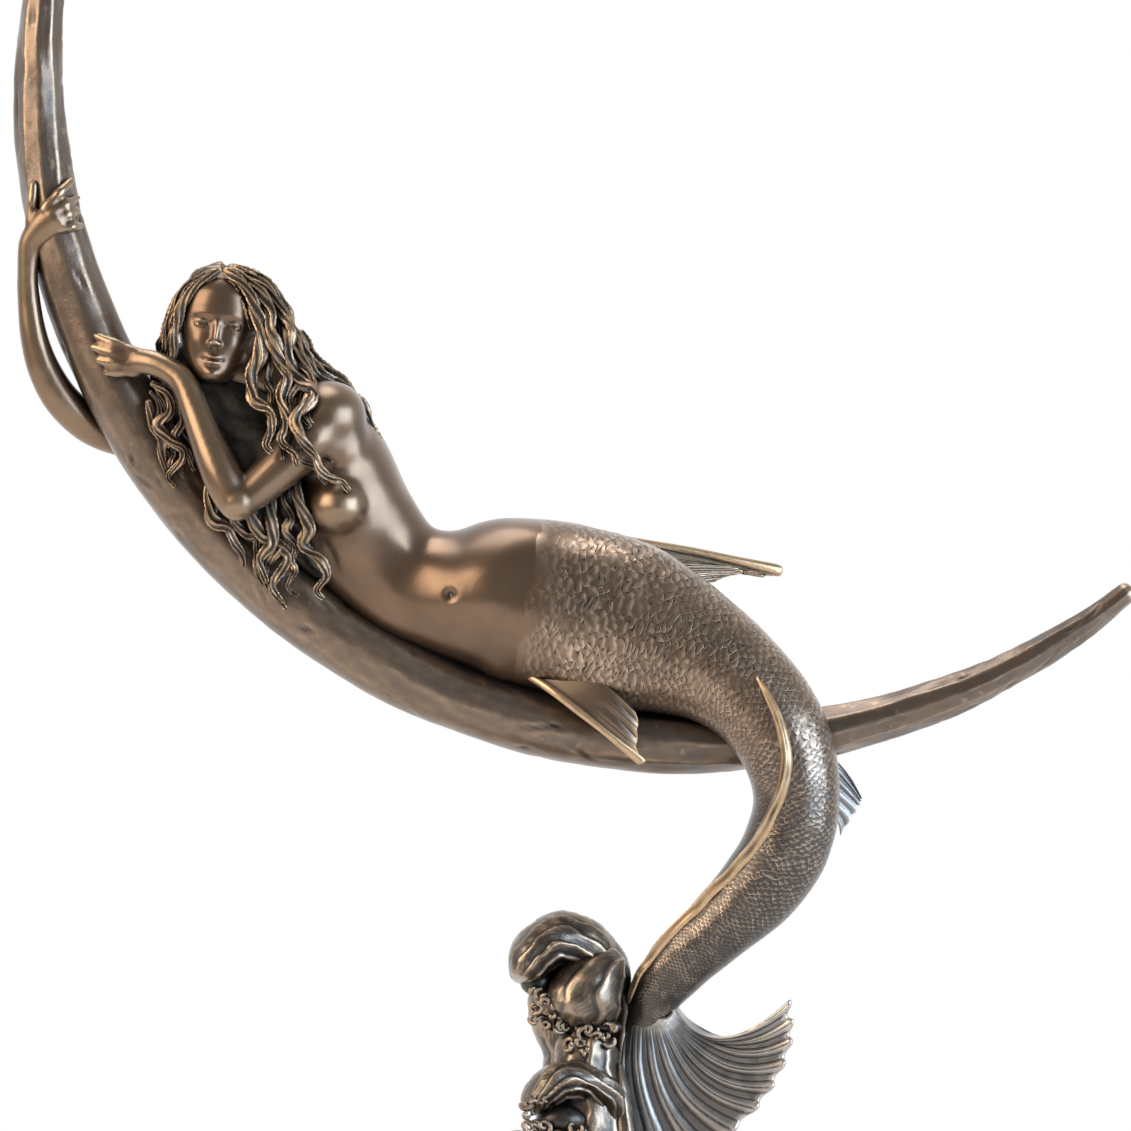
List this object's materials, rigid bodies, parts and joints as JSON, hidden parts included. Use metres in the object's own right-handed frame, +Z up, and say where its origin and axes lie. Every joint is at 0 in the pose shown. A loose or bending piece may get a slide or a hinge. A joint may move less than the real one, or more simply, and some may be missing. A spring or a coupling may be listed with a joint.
{
  "type": "mermaid figurine",
  "caption": "Cast bronze-look figurine of a mermaid lying along a crescent moon, her scaled tail rising from breaking waves on a flat-bottomed base.",
  "frame": {"origin": "on the flat underside, near the middle of the base, below the foot of the waves", "axes": "+Z up, +X from the mermaid's hands to her tail, -Y towards the viewer she looks at"},
  "size_m": [0.2427, 0.0896, 0.332],
  "materials": {
    "antique_bronze": "antique bronze with a dark patina in the recesses and rubbed edges"
  },
  "bodies": {
    "root": {"mermaid_figurine": "antique_bronze"}
  },
  "joints": []
}
